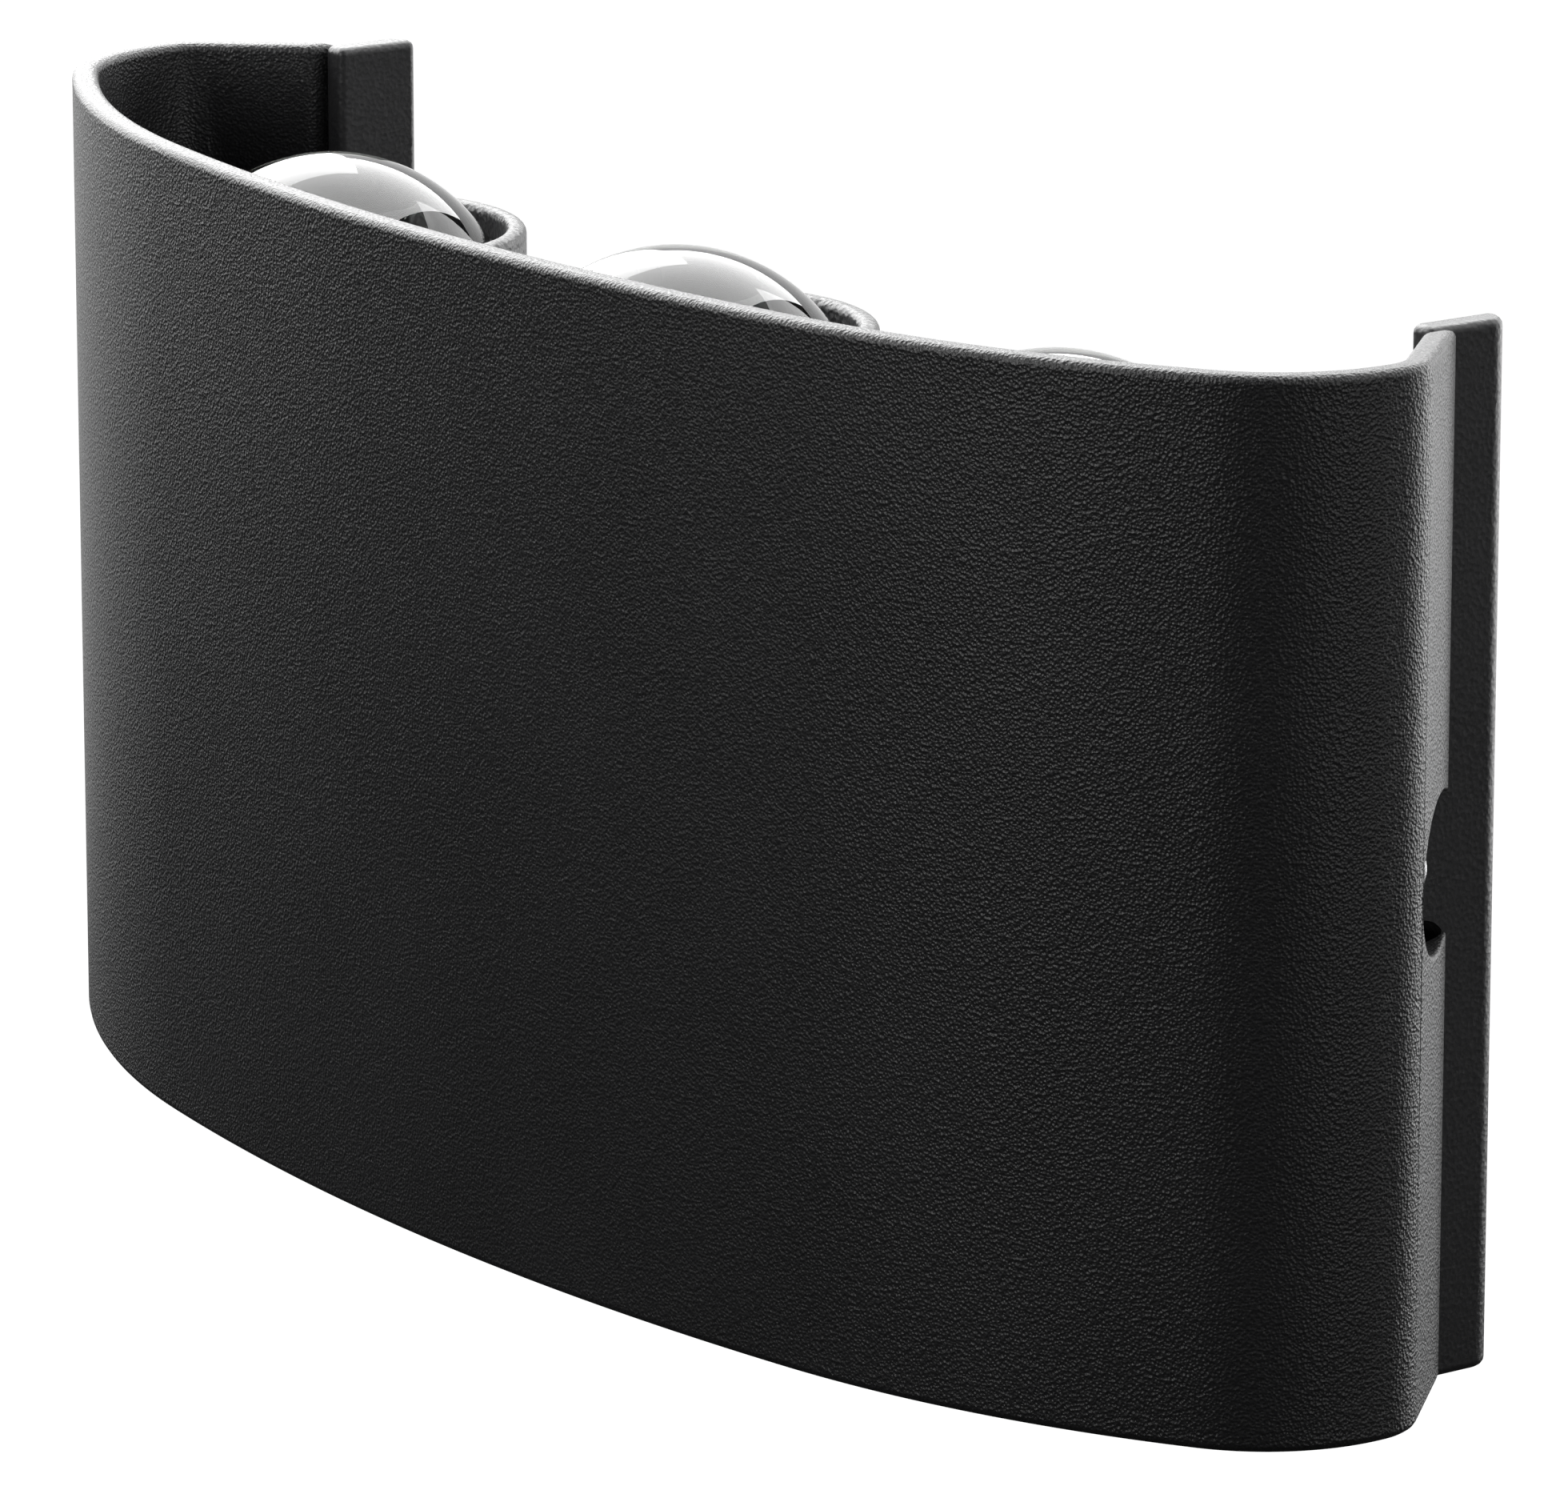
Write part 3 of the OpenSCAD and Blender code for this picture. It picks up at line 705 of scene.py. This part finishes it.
def make_ring(column, side):
    """Threaded ring with two key slots, its upper edges rounded."""
    outer_r = (ring_high.x - ring_low.x) / 2
    inner_r = NECK_R + SEAT_PLAY
    profile = fillet(
        [(inner_r, ring_low.z), (outer_r, ring_low.z), (outer_r, ring_high.z), (inner_r, ring_high.z)],
        [0, 0, EDGE_ROUND, EDGE_ROUND],
    )
    ring = lathe("ring", profile)
    slot_low = (-BARREL_R, -KEY_W / 2, ring_high.z - KEY_DEPTH)
    slot = block(slot_low, (BARREL_R, KEY_W / 2, ring_high.z + OVER))
    combine(ring, [slot], "DIFFERENCE")
    place_in_barrel(ring, column, side)
    return shade_smooth(ring)


def make_lens(column, side):
    """Plano-convex lens: a flange, a neck and a dome with polished, slightly rounded edges."""
    flange_r = (lens_high.x - lens_low.x) / 2
    dome_z = lens_high.z - DOME_R
    flange_top = lens_low.z + FLANGE_T
    neck_top = dome_z + sqrt(DOME_R**2 - NECK_R**2)
    start = Vector((NECK_R, neck_top - dome_z)).angle(Vector((0, 1)))
    turns = [start * k / DOME_STEPS for k in range(DOME_STEPS, -1, -1)]
    dome = [(DOME_R * sin(turn), dome_z + DOME_R * cos(turn)) for turn in turns]
    foot = fillet(
        [
            (0, lens_low.z),
            (flange_r, lens_low.z),
            (flange_r, flange_top),
            (NECK_R, flange_top),
            (NECK_R, neck_top),
        ],
        [0, EDGE_ROUND, EDGE_ROUND, 0, 0],
    )
    lens = lathe("lens", foot[:-1] + dome)
    place_in_barrel(lens, column, side)
    return shade_smooth(lens, 30)


for side_name, side in SIDES.items():
    for column_name, column in COLUMNS.items():
        where = f"{side_name}_{column_name}"
        ring = make_ring(column, side)
        finish_piece(ring, f"lens_ring_{where}", "lamp", "cast_finish", f"ring_{where}")
        lens = make_lens(column, side)
        finish_piece(lens, f"lens_dome_{where}", "lamp", "lens_glass", f"lens_{where}")

# ---------------------------------------------------------------- the wall bracket


def make_wing(side):
    """One full-height wing with the hooked lug that the side screw clamps."""
    inner_x = wing_x - WING_T
    plan = fillet(
        [(inner_x, -WING_DEPTH), (wing_x, -WING_DEPTH), (wing_x, 0), (inner_x, 0)],
        [0, 0, WING_CORNER_R, 0],
        8,
    )
    wing = round_edges(prism("wing", plan, -half_h, half_h), WING_ROUND)
    lug = rod((inner_x, screw_y, 0), "x", LUG_H / 2, WING_T)
    root = block((inner_x, screw_y, -LUG_H / 2), (wing_x, OVER - WING_DEPTH, LUG_H / 2))
    combine(wing, [root, lug], "UNION")
    cuts = [
        rod((inner_x - OVER, screw_y, 0), "x", HOLE_R, WING_T + 2 * OVER),
        block((inner_x - OVER, screw_y - LUG_H, -HOLE_R), (wing_x + OVER, screw_y, HOLE_R)),
    ]
    for end in (-1, 1):
        at = (inner_x - OVER, -WING_DEPTH, end * (LUG_H / 2 + RELIEF_R))
        cuts.append(rod(at, "x", RELIEF_R, WING_T + 2 * OVER))
    combine(wing, cuts, "DIFFERENCE")
    return wing if side > 0 else mirror(wing, (1, 0, 0))


def make_bracket():
    edge_x = wing_x - WING_T / 2
    front = -PLATE_T - OVER
    length = PLATE_T + 2 * OVER
    plate = block((-edge_x, -PLATE_T, -PLATE_H / 2), (edge_x, 0, PLATE_H / 2))
    round_edges(plate, EDGE_ROUND)
    cuts = [
        rod((0, front, 0), "y", WINDOW_R, length),
        rod((EARTH_X, front, EARTH_Z), "y", THREAD_R, length, 48),
    ]
    for end in (-1, 1):
        x = end * SLOT_SPACING / 2
        reach = (SLOT_L - SLOT_W) / 2
        slot = block((x - reach, front, -SLOT_W / 2), (x + reach, OVER, SLOT_W / 2))
        ends = [rod((x + k * reach, front, 0), "y", SLOT_W / 2, length) for k in (-1, 1)]
        cuts.append(combine(slot, ends, "UNION"))
    combine(plate, cuts, "DIFFERENCE")
    combine(plate, [make_wing(1), make_wing(-1)], "UNION")
    shade_smooth(plate)
    return finish_piece(plate, "bracket_frame", "bracket", "bracket_finish", "wall_bracket")


make_bracket()

# ---------------------------------------------------------------- the side screws


def make_side_screw(side, axis):
    """Domed head with a hex recess on a plain shank."""
    head_x = abs(side_screw_high.x) - SIDE_HEAD_H
    length = head_x - side_screw_low.x
    profile = fillet(
        [
            (0, -length),
            (SHANK_R, -length),
            (SHANK_R, 0),
            (SIDE_HEAD_R, 0),
            (SIDE_HEAD_R, SIDE_HEAD_H),
            (0, SIDE_HEAD_H),
        ],
        [0, EDGE_ROUND, 0, SIDE_RIM_ROUND, SIDE_CROWN_ROUND, 0],
    )
    screw = lathe("screw", profile, 96)
    hexagon = [(SIDE_DRIVE_R * cos(k * pi / 3), SIDE_DRIVE_R * sin(k * pi / 3)) for k in range(6)]
    combine(screw, [prism("hex", hexagon, SIDE_HEAD_H / 2, 2 * SIDE_HEAD_H)], "DIFFERENCE")
    screw.data.transform(Matrix.Translation((side * head_x, screw_y, 0)) @ TURN_TO[axis])
    return shade_smooth(screw, 30)


for name, (side, axis) in zip(("left", "right"), SIDE_AXES):
    screw = make_side_screw(side, axis)
    finish_piece(screw, f"clamp_screw_{name}", f"{name}_screw", "screw_steel", f"side_screw_{name}")

# ---------------------------------------------------------------- finishes on the CAD parts that stay


def soften(node):
    """Rounds a CAD part's edges slightly with modifiers, so its own mesh stays as it is."""
    weld = node.modifiers.new("weld", "WELD")
    weld.merge_threshold = TINY / 10
    flat = node.modifiers.new("flat", "DECIMATE")
    flat.decimate_type = "DISSOLVE"
    flat.angle_limit = radians(0.5)
    edge = node.modifiers.new("edge", "BEVEL")
    edge.width = CAD_EDGE_ROUND
    edge.segments = 2
    edge.limit_method = "ANGLE"
    edge.angle_limit = radians(40)
    weigh = node.modifiers.new("weigh", "WEIGHTED_NORMAL")
    weigh.keep_sharp = True


slots = {part["node"]: part["material_slot"] for part in frame["record"]["subparts"]}
for name, node in frame["nodes"].items():
    node.data.materials.clear()
    node.data.materials.append(FINISHES[slots[name]])
    if not node.hide_render:
        soften(node)

# ---------------------------------------------------------------- studio


FLOOR_SIZE = 6.0
FLOOR_DROP = 0.6


def towards(azimuth, elevation):
    """Direction to a compass azimuth (0 is in front, 90 is to the right) and an elevation."""
    turn = radians(azimuth)
    rise = radians(elevation)
    return Vector((sin(turn) * cos(rise), -cos(turn) * cos(rise), sin(rise)))


def make_floor():
    """A plain white floor, well below the light because it hangs on a wall."""
    corners = [(x * FLOOR_SIZE, y * FLOOR_SIZE, 0) for x, y in ((-1, -1), (1, -1), (1, 1), (-1, 1))]
    floor = new_piece("floor", corners, [[0, 1, 2, 3]])
    floor.location = (0, 0, cad_low.z - FLOOR_DROP)
    made = Nodes("floor_white")
    cloud = made.noise(3)
    made.link(made.tint(cloud, (0.93, 0.93, 0.93), (0.96, 0.96, 0.96)), made.shader.inputs["Base Color"])
    made.set(Roughness=0.9, Emission_Color=(1, 1, 1, 1), Emission_Strength=1.0)
    floor.data.materials.append(made.material)
    floor.visible_glossy = False
    floor.visible_diffuse = False


def make_world(seen, fill):
    """White to the eye and through glass, and a dim even fill for the surfaces."""
    world = bpy.data.worlds.new("studio")
    world.use_nodes = True
    tree = world.node_tree
    tree.nodes.clear()
    path = tree.nodes.new("ShaderNodeLightPath")
    either = tree.nodes.new("ShaderNodeMath")
    either.operation = "MAXIMUM"
    tree.links.new(path.outputs["Is Camera Ray"], either.inputs[0])
    tree.links.new(path.outputs["Is Transmission Ray"], either.inputs[1])
    mix = tree.nodes.new("ShaderNodeMixShader")
    tree.links.new(either.outputs["Value"], mix.inputs["Fac"])
    for socket, level in ((1, fill), (2, seen)):
        light = tree.nodes.new("ShaderNodeBackground")
        light.inputs["Color"].default_value = (level, level, level, 1)
        tree.links.new(light.outputs["Background"], mix.inputs[socket])
    output = tree.nodes.new("ShaderNodeOutputWorld")
    tree.links.new(mix.outputs["Shader"], output.inputs["Surface"])
    bpy.context.scene.world = world


def make_panel(name, azimuth, elevation, distance, width, height, power):
    """A soft light that faces the object. Degrees, metres and watts."""
    away = towards(azimuth, elevation)
    light = bpy.data.lights.new(name, "AREA")
    light.shape = "RECTANGLE"
    light.size = width
    light.size_y = height
    light.energy = power
    lamp = bpy.data.objects.new(name, light)
    lamp.location = centre + away * distance
    lamp.rotation_euler = away.to_track_quat("Z", "Y").to_euler()
    lamp.visible_camera = False
    bpy.context.scene.collection.objects.link(lamp)


def make_camera(azimuth, elevation, distance, aim, lens):
    """A long lens at the photograph's viewing angle."""
    data = bpy.data.cameras.new("camera")
    data.lens = lens
    data.sensor_width = 36
    data.clip_start = 0.05
    camera = bpy.data.objects.new("camera", data)
    camera.location = aim + towards(azimuth, elevation) * distance
    camera.rotation_euler = (radians(90 - elevation), 0, radians(azimuth))
    bpy.context.scene.collection.objects.link(camera)
    bpy.context.scene.camera = camera


centre = (cad_low + cad_high) / 2
make_floor()
make_world(seen=1.0, fill=0.03)
make_panel("softbox", azimuth=234, elevation=50, distance=0.8, width=0.9, height=0.9, power=15.0)
make_panel("backdrop", azimuth=230, elevation=2, distance=0.8, width=1.5, height=0.54, power=2.6)
make_panel("rear_panel", azimuth=176, elevation=14, distance=0.6, width=0.5, height=0.7, power=3.6)
make_panel("left_panel", azimuth=268, elevation=26, distance=0.5, width=0.55, height=0.45, power=2.6)
make_panel("fill_panel", azimuth=292, elevation=34, distance=0.8, width=0.6, height=0.5, power=3.6)
make_panel("front_panel", azimuth=2, elevation=26, distance=0.6, width=0.25, height=0.45, power=1.8)
make_panel("right_panel", azimuth=100, elevation=18, distance=0.9, width=0.5, height=0.8, power=1.8)
make_panel("overhead", azimuth=116, elevation=58, distance=0.8, width=0.6, height=0.5, power=2.6)
aim = centre + Vector((5.9, 6.6, -3.8)) * MM
make_camera(azimuth=54.09, elevation=14.12, distance=0.7613, aim=aim, lens=223.1)
bpy.context.scene.view_settings.view_transform = "Standard"
